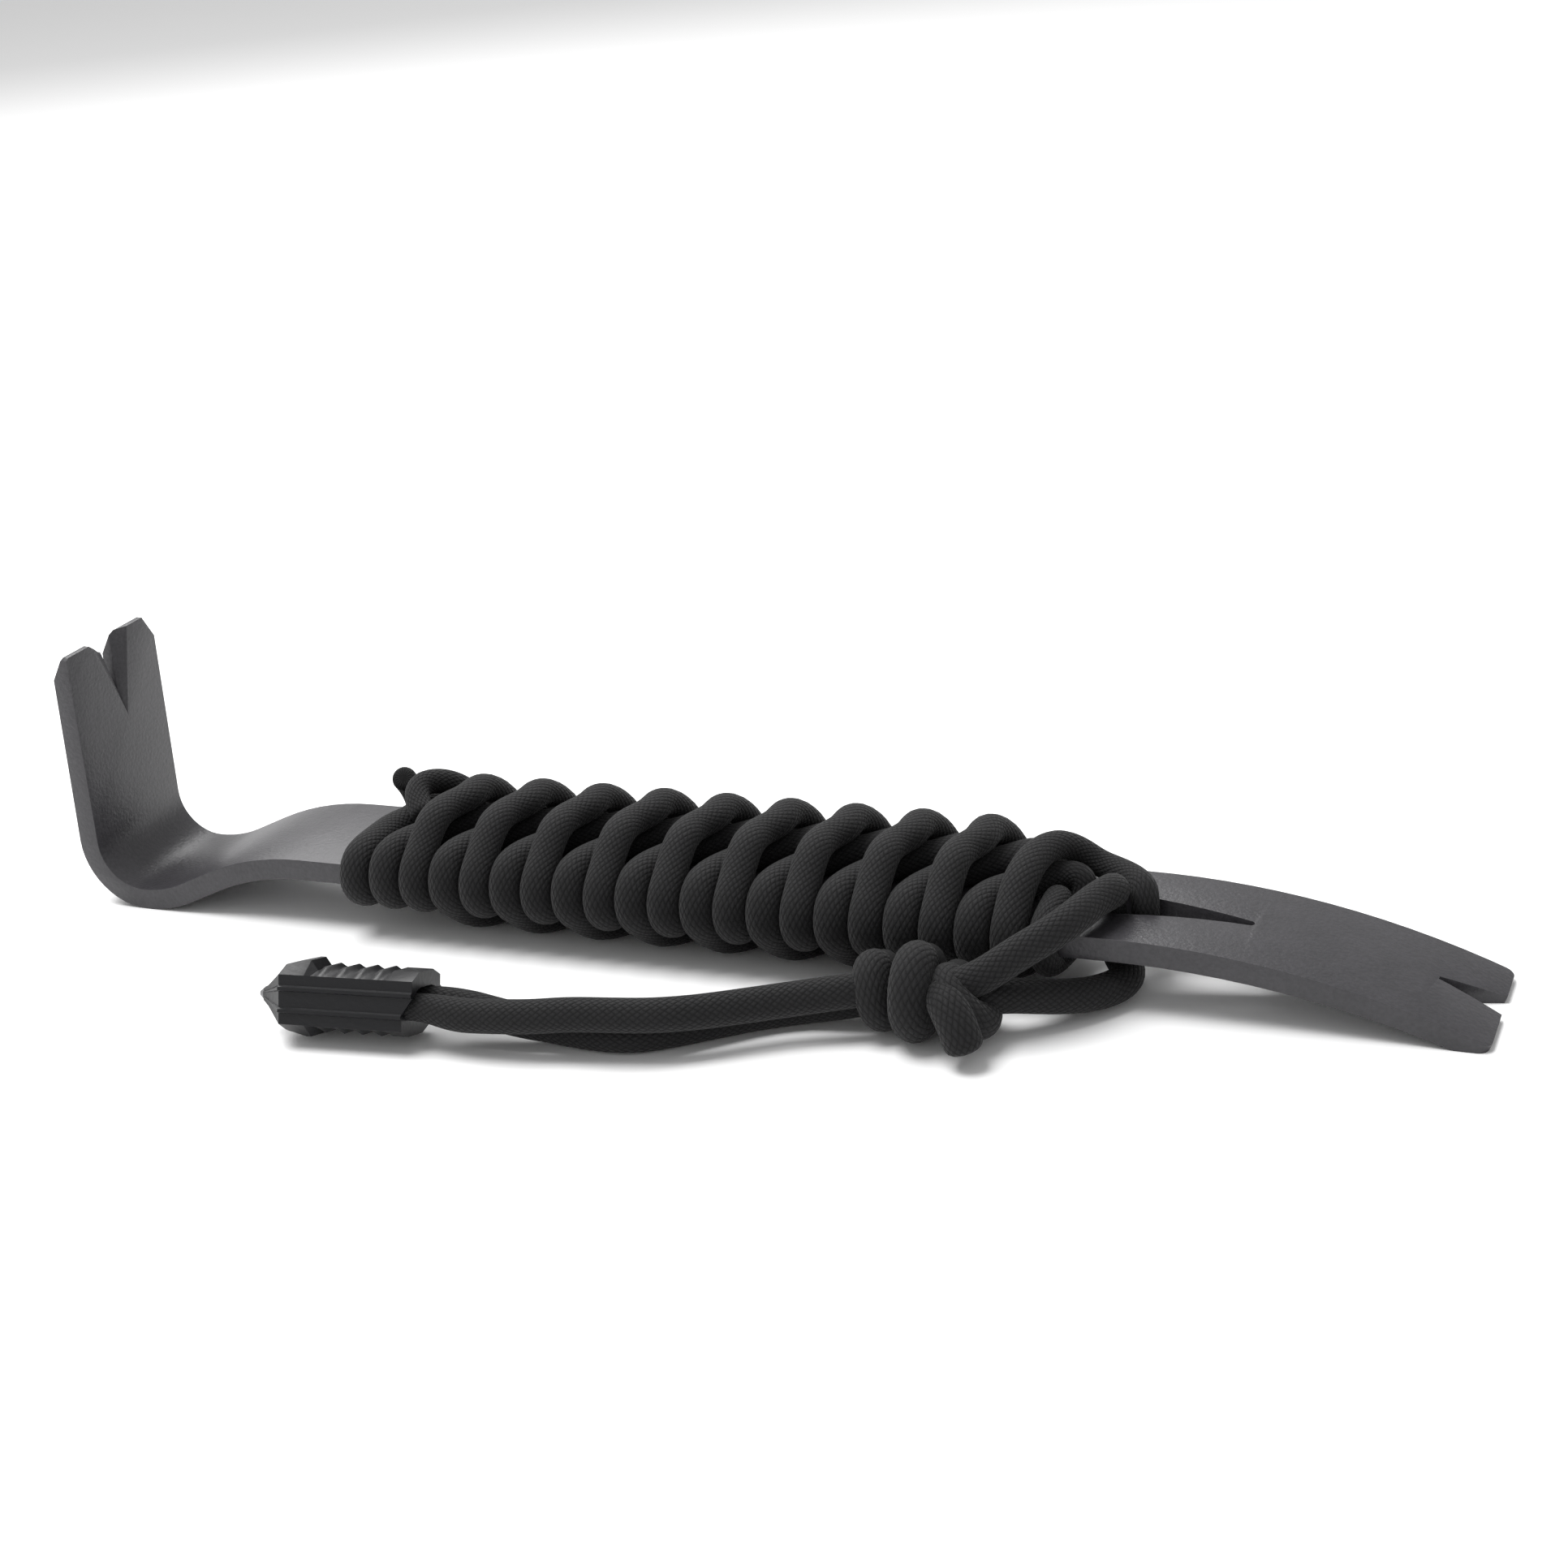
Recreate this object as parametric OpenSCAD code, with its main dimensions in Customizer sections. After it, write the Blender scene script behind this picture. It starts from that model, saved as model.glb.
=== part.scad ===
// Compact flat pry bar with a cord-wrapped handle and a looped cord lanyard.
// Millimetres, +Z up. X runs along the bar: claw at -X, chisel tip at +X.
// The origin is under the middle of the bar, on the surface that it rests on.

/* [Bar] */
// Width of the flat bar
bar_w = 17; // [15:0.5:20]
// Thickness of the flat bar
bar_t = 2.6; // [2.4:0.1:2.8]
// Inner radius of the heel bend
heel_r = 5.5; // [5:0.5:8]
// Length of the straight claw above the heel bend
claw_l = 24.2; // [18:0.1:30]
// Lean of the claw towards the handle, degrees
claw_lean = 2.6; // [0:0.1:6]
// Length of the straight handle
handle_l = 98.7; // [98:0.1:99.4]
// Radius of the curve that ends in the tip
tip_r = 100; // [80:1:120]
// Angle that the tip curves down through, degrees
tip_angle = 23; // [21:0.5:23]

/* [Slot and notches] */
// Radius of the slot's wide end
slot_wide_r = 3.3; // [3:0.1:3.6]
// Radius of the slot's narrow end
slot_narrow_r = 0.5; // [0.4:0.1:0.8]
// Length between the centres of the slot's two ends
slot_l = 19.5; // [17:0.1:21]
// Mouth width of the nail notch in the tip
tip_notch_w = 3.9; // [3:0.1:5]
// Depth of the nail notch in the tip
tip_notch_d = 7; // [5:0.5:9]
// Mouth width of the nail notch in the claw
claw_notch_w = 2.8; // [2.4:0.1:3.6]
// Depth of the nail notch in the claw
claw_notch_d = 8.6; // [7:0.2:10]

/* [Cord] */
// Radius of the free cord
cord_r = 1.85; // [1.7:0.05:1.9]
// Half thickness of the cord where it is wound tight on the handle
wound_r = 1.65; // [1.5:0.05:1.7]
// Half width of the wound cord, flattened against the bar
wound_w = 1.92; // [1.8:0.02:1.96]
// Length of handle that one turn of both strands takes
pitch = 8; // [7.8:0.1:8]
// Number of full turns of the wrap
turns = 10; // [10:1:10]

/* [Cord end cap] */
// Length of the cap from nose to mouth
cap_l = 19.4; // [18:0.1:21]
// Width of the cap
cap_w = 7.6; // [7.4:0.1:8.4]
// Height of the cap
cap_h = 8.3; // [8:0.1:8.6]
// Wall of the cap
cap_wall = 0.8; // [0.6:0.1:1]

/* [Hidden] */

steel = [0.27, 0.26, 0.29];
cord_black = [0.13, 0.13, 0.14];
cap_black = [0.16, 0.17, 0.19];
hard_metal = [0.32, 0.32, 0.33];
eps = 0.01;

// The bar's side view is a chain of straight lines and arcs, starting at the heel's centre.
neck_angle = 24;
neck_low_r = 14.5;
neck_high_r = 33;
neck_straight_l = 4.9;
neck_rise = (neck_low_r + neck_high_r) * (1 - cos(neck_angle)) + neck_straight_l * sin(neck_angle);
neck_run = (neck_low_r + neck_high_r) * sin(neck_angle) + neck_straight_l * cos(neck_angle);
bar_run = neck_run + handle_l + tip_r * sin(tip_angle);
heel_x = (heel_r + bar_t - bar_run) / 2;
heel_z = heel_r + bar_t;
top_z = bar_t + neck_rise;
bottom_z = top_z - bar_t;
neck_x = heel_x + neck_run;
tip_x = neck_x + handle_l;
claw_bevel_l = 3;
claw_bevel_t = 2.4;
claw_edge_t = 0.75;
under_tip_r = 106;
tip_corner_r = 1.1;
tip_notch_y = 0.7;
claw_notch_y = 1.1;
claw_hollow_t = 1;
slot_x = 39.5;

// Points on an arc in the side view.
function arc(x, z, r, from, to, n) =
    [for (i = [0:n]) let (a = from + (to - from) * i / n) [x + r * cos(a), z + r * sin(a)]];

// A point on the claw: up from the heel bend, and out from the inner face.
function on_claw(up, out) =
    [heel_x - (heel_r + out) * cos(claw_lean) + up * sin(claw_lean),
     heel_z + (heel_r + out) * sin(claw_lean) + up * cos(claw_lean)];

function inner_edge() = concat(
    [on_claw(claw_l, 0)],
    arc(heel_x, heel_z, heel_r, 180 - claw_lean, 270, 12),
    arc(heel_x, bar_t + neck_low_r, neck_low_r, 273, 270 + neck_angle, 5),
    arc(neck_x, top_z - neck_high_r, neck_high_r, 90 + neck_angle, 90, 7),
    arc(tip_x, top_z - tip_r, tip_r, 90, 90 - tip_angle, 14));

function tip_at(angle, depth) =
    [tip_x + (tip_r - depth) * sin(angle), top_z - tip_r + (tip_r - depth) * cos(angle)];

// The underside curves less than the top, so the tip thins, and ends in a flat at ground level.
under_tip_angle = acos(1 - bottom_z / under_tip_r);
tip_end = tip_at(tip_angle, 0);

function outer_edge() = concat(
    [[tip_end.x - tip_end.y * tan(tip_angle), 0]],
    arc(tip_x, bottom_z - under_tip_r, under_tip_r, 90 - under_tip_angle, 90, 12),
    arc(neck_x, top_z - neck_high_r, neck_high_r - bar_t, 90, 90 + neck_angle, 7),
    arc(heel_x, bar_t + neck_low_r, neck_low_r + bar_t, 270 + neck_angle, 273, 5),
    arc(heel_x, heel_z, heel_r + bar_t, 270, 180 - claw_lean, 12),
    [on_claw(claw_l - claw_bevel_l, claw_bevel_t), on_claw(claw_l, claw_edge_t)]);

module side_extrude(width) {
    rotate([90, 0, 0]) linear_extrude(width, center = true) children();
}

// Flat shapes are drawn with X along the tip or the claw, from its end towards the handle.
module on_tip() {
    translate([tip_end.x, 0, tip_end.y]) rotate([0, 180 + tip_angle, 0]) children();
}

module on_claw_face() {
    end = on_claw(claw_l, 0);
    translate([end.x, 0, end.y]) rotate([0, 90 + claw_lean, 0]) children();
}

module tip_notch() {
    y = tip_notch_y;
    w = tip_notch_w * 0.56;
    polygon([[-1, y - w], [-1, y + w], [tip_notch_d, y + 0.25], [tip_notch_d, y - 0.25]]);
}

// The claw's notch has one straight side, one sloping side and a chamfered corner.
module claw_notch() {
    y = claw_notch_y;
    polygon([[-1, y - claw_notch_w - 0.3], [-1, y], [claw_notch_d, y - 0.1],
             [claw_notch_d, y - 0.5]]);
    polygon([[-1, y - 6.5], [2, y - claw_notch_w + 0.3], [-1, y]]);
}

// Sloping sides open the notch out on the claw's inner face.
module claw_hollow() {
    y = claw_notch_y;
    d = claw_notch_d;
    low = [[-1, y - claw_notch_w - 0.3], [d, y - 0.3], [-1, y]];
    high = [[-1, y - claw_notch_w - 2.2], [d + 2.2, y], [-1, y + 2.6]];
    polyhedron(
        points = concat([for (p = low) [p.x, p.y, -claw_hollow_t]],
                        [for (p = high) [p.x, p.y, eps]]),
        faces = [[0, 1, 2], [5, 4, 3], [0, 3, 4, 1], [1, 4, 5, 2], [2, 5, 3, 0]]);
}

// Cuts off the claw's two corners; c = [side, width, length].
module corner_cuts() {
    for (c = [[-1, 0.4, 0.4], [1, 1.9, 3]])
        polygon([[-1, c[0] * (bar_w / 2 + 1)], [-1, c[0] * (bar_w / 2 - c[1])],
                 [0, c[0] * (bar_w / 2 - c[1])], [c[2], c[0] * bar_w / 2],
                 [c[2], c[0] * (bar_w / 2 + 1)]]);
}

module round_corners(r) {
    for (side = [-1, 1])
        difference() {
            translate([-1, side * (bar_w / 2 + 1 - (r + 1) / 2) - (r + 1) / 2])
                square([r + 1, r + 1]);
            translate([r, side * (bar_w / 2 - r)]) circle(r, $fn = 32);
        }
}

// The teardrop slot: two rounds and the tangent sides between them.
module slot() {
    lean = asin((slot_wide_r - slot_narrow_r) / slot_l);
    narrow_x = slot_x + slot_l;
    translate([slot_x, 0]) circle(slot_wide_r, $fn = 64);
    translate([narrow_x, 0]) circle(slot_narrow_r, $fn = 32);
    polygon([[slot_x + slot_wide_r * sin(lean), slot_wide_r * cos(lean)],
             [narrow_x + slot_narrow_r * sin(lean), slot_narrow_r * cos(lean)],
             [narrow_x + slot_narrow_r * sin(lean), -slot_narrow_r * cos(lean)],
             [slot_x + slot_wide_r * sin(lean), -slot_wide_r * cos(lean)]]);
}

module pry_bar() {
    color(steel) difference() {
        side_extrude(bar_w) polygon(concat(inner_edge(), outer_edge()));
        translate([0, 0, bottom_z - 4]) linear_extrude(bar_t + 8) slot();
        on_tip() translate([0, 0, -6]) linear_extrude(12) tip_notch();
        on_tip() translate([0, 0, -6]) linear_extrude(12) round_corners(tip_corner_r);
        on_claw_face() translate([0, 0, -6]) linear_extrude(12) claw_notch();
        on_claw_face() translate([0, 0, -6]) linear_extrude(12) corner_cuts();
        on_claw_face() claw_hollow();
    }
}

// ---- Cords: tubes swept along a list of points ----

function unit(v) = v / norm(v);
function smooth(v) = let (c = max(0, min(1, v))) c * c * (3 - 2 * c);
function mix(a, b, f) = a + (b - a) * f;

function tangents(path) =
    [for (i = [0:len(path) - 1])
        unit(path[min(i + 1, len(path) - 1)] - path[max(i - 1, 0)])];

function reject(v, t) = unit(v - t * (v * t));

// One side direction per point, carried along the path with no twist.
function carried(tan, first) =
    [for (i = 0, v = reject(first, tan[0]); i < len(tan);
          i = i + 1, v = i < len(tan) ? reject(v, tan[i]) : v) v];

module sweep(path, tan, out, thick, wide, sides) {
    n = len(path);
    ring = [for (i = [0:n - 1]) let (side = cross(tan[i], out[i]))
            for (j = [0:sides - 1]) let (a = 360 * j / sides)
            path[i] + thick[i] * out[i] * cos(a) + wide[i] * side * sin(a)];
    walls = [for (i = [0:n - 2]) for (j = [0:sides - 1]) let (k = (j + 1) % sides)
             [i * sides + j, (i + 1) * sides + j, (i + 1) * sides + k, i * sides + k]];
    ends = [[for (j = [0:sides - 1]) j], [for (j = [sides - 1:-1:0]) (n - 1) * sides + j]];
    polyhedron(points = ring, faces = concat(walls, ends), convexity = 10);
}

// A round cord along a path.
module tube(path, radius, sides = 8) {
    tan = tangents(path);
    sweep(path, tan, carried(tan, [0.31, 0.87, 0.38]), radius, radius, sides);
}

// A smooth curve through hand-set points, m steps to each span.
function curve_at(a, b, c, d, f) =
    0.5 * ((2 * b) + (c - a) * f + (2 * a - 5 * b + 4 * c - d) * f * f
           + (3 * b - a - 3 * c + d) * f * f * f);
function curve(pts, m) = concat(
    [for (i = [0:len(pts) - 2]) for (j = [0:m - 1])
        curve_at(pts[max(i - 1, 0)], pts[i], pts[i + 1], pts[min(i + 2, len(pts) - 1)], j / m)],
    [pts[len(pts) - 1]]);

// ---- The handle wrap ----
// Both strands go round the bar together. On each face they swap places: the over strand
// rides on the under strand on top, and the other way round below. Each turn moves on by
// one pitch towards the claw, on the back half of the bar.
steps = 24;
wrap_x = -46.3;
nose_r = bar_t / 2 + wound_r;
flat_y = bar_w / 2 + wound_r - nose_r;
flat_l = 2 * flat_y;
nose_l = PI * nose_r;
turn_l = 2 * (flat_l + nose_l);
advance_l = 2 * flat_y + nose_l;
squeeze = 0.2;

// Place round the bar, s mm from the top back corner, going over the top to the front,
// down, back underneath and up: [y, z, outward y, outward z].
function round_bar(s) =
    s < flat_l ? [flat_y - s, 0, 0, 1]
    : s < flat_l + nose_l ?
        let (a = 180 * (s - flat_l) / nose_l) [-flat_y, 0, -sin(a), cos(a)]
    : s < 2 * flat_l + nose_l ? [s - flat_l - nose_l - flat_y, 0, 0, -1]
    : let (a = 180 * (s - 2 * flat_l - nose_l) / nose_l) [flat_y, 0, sin(a), -cos(a)];

// Distance along the back half of the turn, from the middle of the underside (0) to the
// middle of the top (advance_l).
function back_run(s) =
    s < flat_y ? advance_l - flat_y + s
    : s > 1.5 * flat_l + nose_l ? s - 1.5 * flat_l - nose_l
    : s < flat_l + nose_l ? advance_l : 0;

// Where the strands cross under the bar, mm from the front; the last pair crosses further back.
function cross_from(pair) = pair == 1 ? flat_y : 0;

function over_offset(s, pair) =
    s < flat_l ? 2 - 4 * smooth((flat_y - s) / flat_y)
    : s < flat_l + nose_l ? 2
    : s < 2 * flat_l + nose_l ? 2 - 4 * smooth((s - flat_l - nose_l - cross_from(pair)) / flat_y)
    : -2;
function under_offset(s, pair) =
    s < flat_l ? 2 - 4 * s / flat_l
    : s < flat_l + nose_l ? -2
    : s < 2 * flat_l + nose_l ? -2 + 4 * smooth((s - flat_l - nose_l - cross_from(pair)) / flat_y)
    : 2;

function top_lift(s) =
    let (t = s > turn_l / 2 + nose_l ? s - turn_l : s)
    smooth((t + 4) / 5.5) * smooth((flat_l + 1.5 - t) / 5.5);
function bottom_lift(s, pair) =
    let (t = s - flat_l - nose_l)
    smooth((t + 1.5 - cross_from(pair)) / 4) * smooth((flat_l + 2 - t) / 5);

function wound_radius(out_z) = wound_r - squeeze * (1 - out_z) / 2;

// Most of the move along the bar is made as a strand comes over the top back corner.
function moved_on(s) = pow(back_run(s) / advance_l, 3);
// The under strand stands proud where it comes over the top front corner.
function corner_rise(s) = 0.4 * smooth((s - 8) / 4) * smooth((flat_l + 4 - s) / 4);

// Centre of a strand: over = true for the over strand, pair = which turn, s = place.
function strand_at(over, pair, s) =
    let (place = round_bar(s),
         r = wound_radius(place[3]),
         crest = s > turn_l / 2 + nose_l ? pair - 1 : pair,
         rise = over ? (crest > 0 ? 2 * wound_r * top_lift(s) : 0)
                     : 2 * (wound_r - squeeze) * bottom_lift(s, pair) + corner_rise(s),
         reach = bar_t / 2 + r + rise,
         shift = pitch * ((s < flat_l + nose_l ? 1 : 0) - moved_on(s)),
         x = wrap_x + pitch * pair + (over ? over_offset(s, pair) : under_offset(s, pair)) + shift)
    [x, place[0] + reach * place[2], top_z - bar_t / 2 + reach * place[3]];

function strand(over, first_pair, last_pair, from, to) =
    [for (pair = [first_pair:-1:last_pair])
        for (i = [0:steps - 1]) let (s = turn_l * (i + 0.5) / steps)
        if (!(pair == first_pair && s < from) && !(pair == last_pair && s > to))
            strand_at(over, pair, s)];

// Outward side of a wound strand: straight away from the bar.
function outward(p) =
    let (y = p.y - max(-flat_y, min(flat_y, p.y)), z = p.z - slot_z)
    unit([0, y, abs(y) < eps ? sign(z) : z]);

// A lead-in, the wound part and an end, as one cord. It is flattened where it is wound, and
// the leads take up their side direction from the wound part with no twist.
module wound_strand(lead, wound, end) {
    path = concat(lead, wound, end);
    tan = tangents(path);
    n1 = len(lead);
    n2 = n1 + len(wound) - 1;
    core = [for (i = [n1:n2]) reject(outward(path[i]), tan[i])];
    before = carried([for (i = [n1:-1:0]) tan[i]], core[0]);
    after = carried([for (i = [n2:len(path) - 1]) tan[i]], core[n2 - n1]);
    out = concat([for (i = [n1:-1:1]) before[i]], core, [for (i = [1:len(end)]) after[i]]);
    flat = [for (i = [0:len(path) - 1]) 1 - min(1, max(0, (n1 - i) / 8, (i - n2) / 4))];
    thick = [for (i = [0:len(path) - 1])
             mix(lead_r, path[i].z < bottom_z ? wound_r - squeeze : wound_r, flat[i])];
    wide = [for (i = [0:len(path) - 1]) mix(lead_r, wound_w, flat[i])];
    sweep(path, tan, out, thick, wide, 8);
}

slot_z = top_z - bar_t / 2;
lead_slot_x = 47.8;
lead_r = 1.5;
over_lead = [[lead_slot_x, 0.1, slot_z], [lead_slot_x, 0.1, 9.2], [47.4, 1.1, 10.3],
             [45.9, 2.9, 10.4], [43.6, 4.5, 10.4], [41.4, 5.1, 10.8], [39.4, 4.9, 12.2],
             [37.6, 3.4, 13.5], [36.5, 0.8, 13.8], [36, -1.8, 13.6]];
over_end = [[-45, 4, 4.6], [-46.2, 8.4, 5], [-47.2, 10, 8], [-47.3, 9.5, 10.4], [-47.1, 8, 12.4],
            [-46.7, 7, 13.2]];
under_lead = [[lead_slot_x, 0.1, slot_z], [47.9, 0.4, 5.9], [47.7, 2.2, 4.7],
              [45.4, 3.8, 4.5], [42.6, 4.4, 4.4], [40.3, 2.4, 4.1], [39.9, -1.6, 4.1],
              [39.6, -6.6, 4.5], [39.5, -9.3, 5.7], [39.5, -10.1, 8], [39.5, -8.7, 9.9],
              [39.5, -5.4, 10.4], [39.2, -3, 10.2], [39, -1.8, 8.9], [39.3, -0.8, 7.6],
              [40, 0, 7.1], [40.7, 0.8, 7.8], [40.9, 1.2, 9.4], [40.2, 1.7, 10.6],
              [38.5, 1.6, 10.7], [36.4, 0.4, 10.5], [34.6, -1.2, 10.4]];
under_end = [[-38.3, 10, 8.6], [-38.9, 9.5, 10.6], [-39.8, 8.4, 12.2], [-41.1, 6.9, 13.4],
             [-42.4, 5.1, 13.9], [-42.6, 3.2, 13.6], [-41.6, 1.5, 12.7], [-40.5, 0.4, 12]];

module wrap_over_strand() {
    wound = strand(true, turns, 0, flat_y + 4, turn_l * 0.66);
    color(cord_black) wound_strand(curve(over_lead, 2), wound, curve(over_end, 2));
}

module wrap_under_strand() {
    wound = strand(false, turns, 1, flat_y + 2.5, turn_l * 0.88);
    color(cord_black) wound_strand(curve(under_lead, 2), wound, curve(under_end, 2));
}

// ---- The lanyard ----
swing_x = 44.4;
swing_y = -0.2;
loop_neck_r = 1.4;
knot_x = 28.6;
knot_y = -18;
knot_z = 5.4;

loop_route = [[32.8, -18.2, 6.6], [35.6, -17.4, 7.8], [38.6, -15.4, 9.6], [41.6, -12.4, 10.9],
              [43.1, -9, 11.4], [44, -5.6, 11.5], [44.9, -2.9, 11.4], [44.8, -1.1, 10.7],
              [swing_x, swing_y, 9.2], [swing_x, swing_y, slot_z], [swing_x, swing_y, 5.4],
              [44.7, -0.8, 3.9], [45.8, -2, 2.9], [46.8, -3.9, 2.5], [46.4, -6.3, 2.3],
              [44.6, -9, 2.5], [42.4, -11.6, 3.2], [39.9, -13.7, 4], [37.4, -15.3, 4.6],
              [34.8, -16.6, 4.7], [32.6, -17.4, 4.4]];
back_tail_route = [[22.6, -15.8, 3], [19.4, -16.8, 2.5], [16, -17.6, 2.1], [12.9, -18.9, 1.9],
                   [9.9, -20.8, 1.9], [5.7, -24, 1.9], [1.5, -27, 1.9], [-1.8, -28.1, 1.9],
                   [-5.7, -28.2, 1.9], [-9.8, -28.1, 2.1], [-12.6, -28.5, 2.5],
                   [-16, -28.6, 3], [-19.5, -28.7, 3.6], [-23.2, -29, 4.1],
                   [-32.2, -29.9, 4.1]];
front_tail_route = [[23.4, -18.9, 5.6], [20.8, -20.2, 5.6], [14.8, -22.8, 5.2], [9.1, -26.1, 5.2],
                    [6.1, -27.8, 5.3], [2.9, -29, 5.3], [-0.6, -29.8, 5.3], [-5.7, -30.8, 5.3],
                    [-10, -31.7, 5], [-14.6, -32.1, 4.7], [-18.4, -32.2, 4.5], [-23.2, -32.1, 4.8],
                    [-31.9, -33, 4.8]];

function neck_radius(p) =
    let (away = norm([p.x - swing_x, p.y - swing_y, (p.z - slot_z) * 0.6]))
    mix(loop_neck_r, cord_r, smooth((away - 1) / 2));

module lanyard_loop() {
    path = curve(loop_route, 3);
    color(cord_black) tube(path, [for (p = path) neck_radius(p)]);
}

// The two tails squeeze together where they enter the cap.
function tail_radius(path) =
    [for (p = path) mix(mouth_cord_r, cord_r, smooth((p.x - cap_x - cap_l + 1) / 6))];

module lanyard_tail_back() {
    path = curve(back_tail_route, 3);
    color(cord_black) tube(path, tail_radius(path));
}

module lanyard_tail_front() {
    path = curve(front_tail_route, 3);
    color(cord_black) tube(path, tail_radius(path));
}

// A round of cord seen as a solid disc with a round rim.
module cord_round(rim_r, r) {
    rotate([0, 90, 0]) rotate_extrude($fn = 48) {
        translate([rim_r, 0]) intersection() {
            circle(r, $fn = 24);
            translate([0, -r]) square([r, 2 * r]);
        }
        translate([0, -r]) square([rim_r, 2 * r]);
    }
}

module lanyard_knot() {
    color(cord_black) translate([knot_x, knot_y, knot_z]) union() {
        translate([-4.6, 0.6, -0.6]) rotate([0, 0, 8]) cord_round(2.4, 1.95);
        rotate([0, 0, 6]) cord_round(3.25, 2.1);
        translate([4.2, 0.2, -0.5]) rotate([0, -18, 14]) cord_round(2.5, 2);
        translate([3.4, -2.2, 0.4]) rotate([0, 131, -40]) cylinder(h = 5.4, r = cord_r, $fn = 32);
    }
}

// ---- The cap on the lanyard's end ----
cap_x = -42.5;
cap_y = -32.6;
cap_turn = 6;
cap_roll = 20;
cap_mid = cap_h / 2;
cap_land = 1.7;
// Half the height between the two ridges on each side
cap_ridge = 1.2;
// The rolled cap lies on one edge of its lower land
cap_z = cap_mid * cos(cap_roll) + cap_land * sin(cap_roll) + 0.02;
mouth_w = 6.2;
mouth_h = 3.8;
mouth_cord_r = 1.5;
shoulder_x = 3.6;
fin_x = 6.6;
fin_end_x = 7.4;
block_x = 15.9;
rib_low = 0.9;
block_low = 0.6;
cavity_from = 5;
cavity_to = 15.5;
lower_l = cap_l - 1.2;
rib_l = 1.1;
rib_gap = 2.2;
rib_x = 7.8;
rib_count = 4;
point_r = 0.8;

module in_cap() {
    translate([cap_x, cap_y, cap_z]) rotate([0, 0, cap_turn]) rotate([-cap_roll, 0, 0])
        translate([0, 0, -cap_mid]) children();
}

module cap_side(length) {
    polygon([[0.3, cap_mid - 0.7], [1.3, cap_mid - 1.4], [shoulder_x, 0.5], [fin_x, 0],
             [fin_end_x, rib_low], [block_x, rib_low], [block_x + 0.5, block_low],
             [length, block_low], [length, cap_h - block_low],
             [block_x + 0.5, cap_h - block_low], [block_x, cap_h - rib_low],
             [fin_end_x, cap_h - rib_low], [fin_x, cap_h], [shoulder_x, cap_h - 0.5],
             [1.3, cap_mid + 1.4], [0.3, cap_mid + 0.7]]);
}

module cap_plan() {
    polygon([[0.3, -0.8], [1.3, -1.5], [shoulder_x, -cap_w / 2], [cap_l, -cap_w / 2],
             [cap_l, cap_w / 2], [shoulder_x, cap_w / 2], [1.3, 1.5], [0.3, 0.8]]);
}

// Half of the cap's cross-section, bottom to top; two raised ridges run along each side.
function cap_half() =
    let (w = cap_w / 2 - 0.3, r = 0.35, h = cap_ridge)
    [[cap_land, -cap_mid], [w, 1.1 - cap_mid], [w, -h - r], [w + 0.3, -h - r / 2],
     [w + 0.3, -h + r / 2], [w, -h + r], [w, h - r], [w + 0.3, h - r / 2],
     [w + 0.3, h + r / 2], [w, h + r], [w, cap_mid - 1.1], [cap_land, cap_mid]];

module cap_section() {
    half = cap_half();
    n = len(half);
    translate([0, cap_mid])
        polygon(concat(half, [for (i = [n - 1:-1:0]) [-half[i].x, half[i].y]]));
}

module cap_ribs(z) {
    for (i = [0:rib_count - 1])
        translate([rib_x + i * rib_gap, -cap_land, z]) cube([rib_l, 2 * cap_land, 0.5]);
}

module cap_solid(length) {
    intersection() {
        side_extrude(cap_w + 2) cap_side(length);
        linear_extrude(cap_h) cap_plan();
        rotate([90, 0, 90]) linear_extrude(cap_l) cap_section();
    }
}

// A flat-sided passage along the cap.
module passage(w, h, from, to) {
    translate([from, 0, cap_mid]) rotate([0, 90, 0]) linear_extrude(to - from) {
        square([h, w - h], center = true);
        for (side = [-1, 1]) translate([0, side * (w - h) / 2]) circle(h / 2, $fn = 48);
    }
}

module cap_hollow() {
    passage(mouth_w, cap_h - 2 * cap_wall - 2, cavity_from, cavity_to);
    passage(mouth_w, mouth_h, cavity_to - 1, cap_l + 1);
    translate([-1, 0, cap_mid]) rotate([0, 90, 0]) cylinder(h = 5, r = point_r, $fn = 32);
}

module cap_upper_shell() {
    color(cap_black) in_cap() difference() {
        union() {
            cap_solid(cap_l);
            cap_ribs(cap_h - block_low - 0.5);
        }
        cap_hollow();
        translate([-1, -cap_w, -eps]) cube([cap_l + 2, 2 * cap_w, cap_mid + eps]);
    }
}

module cap_lower_shell() {
    color(cap_black) in_cap() difference() {
        union() {
            cap_solid(lower_l);
            cap_ribs(block_low);
        }
        cap_hollow();
        translate([-1, -cap_w, cap_mid]) cube([cap_l + 2, 2 * cap_w, cap_h]);
        translate([lower_l, -cap_w, -1]) cube([cap_l, 2 * cap_w, cap_h]);
    }
}

module cap_point() {
    color(hard_metal) in_cap() translate([0, 0, cap_mid]) rotate([0, 90, 0]) union() {
        translate([0, 0, 0.2]) cylinder(h = 3.6, r = point_r, $fn = 32);
        translate([0, 0, -0.4]) cylinder(h = 0.6, r1 = 0.3, r2 = point_r, $fn = 32);
    }
}

module stopper_knot() {
    color(cord_black) in_cap() translate([6.5, 0, cap_mid]) union() {
        cord_round(1.1, 1.1);
        translate([2.2, 0, 0]) cord_round(1.1, 1.1);
    }
}

pry_bar();
wrap_over_strand();
wrap_under_strand();
lanyard_loop();
lanyard_knot();
lanyard_tail_back();
lanyard_tail_front();
stopper_knot();
cap_upper_shell();
cap_lower_shell();
cap_point();
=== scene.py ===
import math

import bmesh
import bpy
from mathutils import Matrix, Vector


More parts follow.
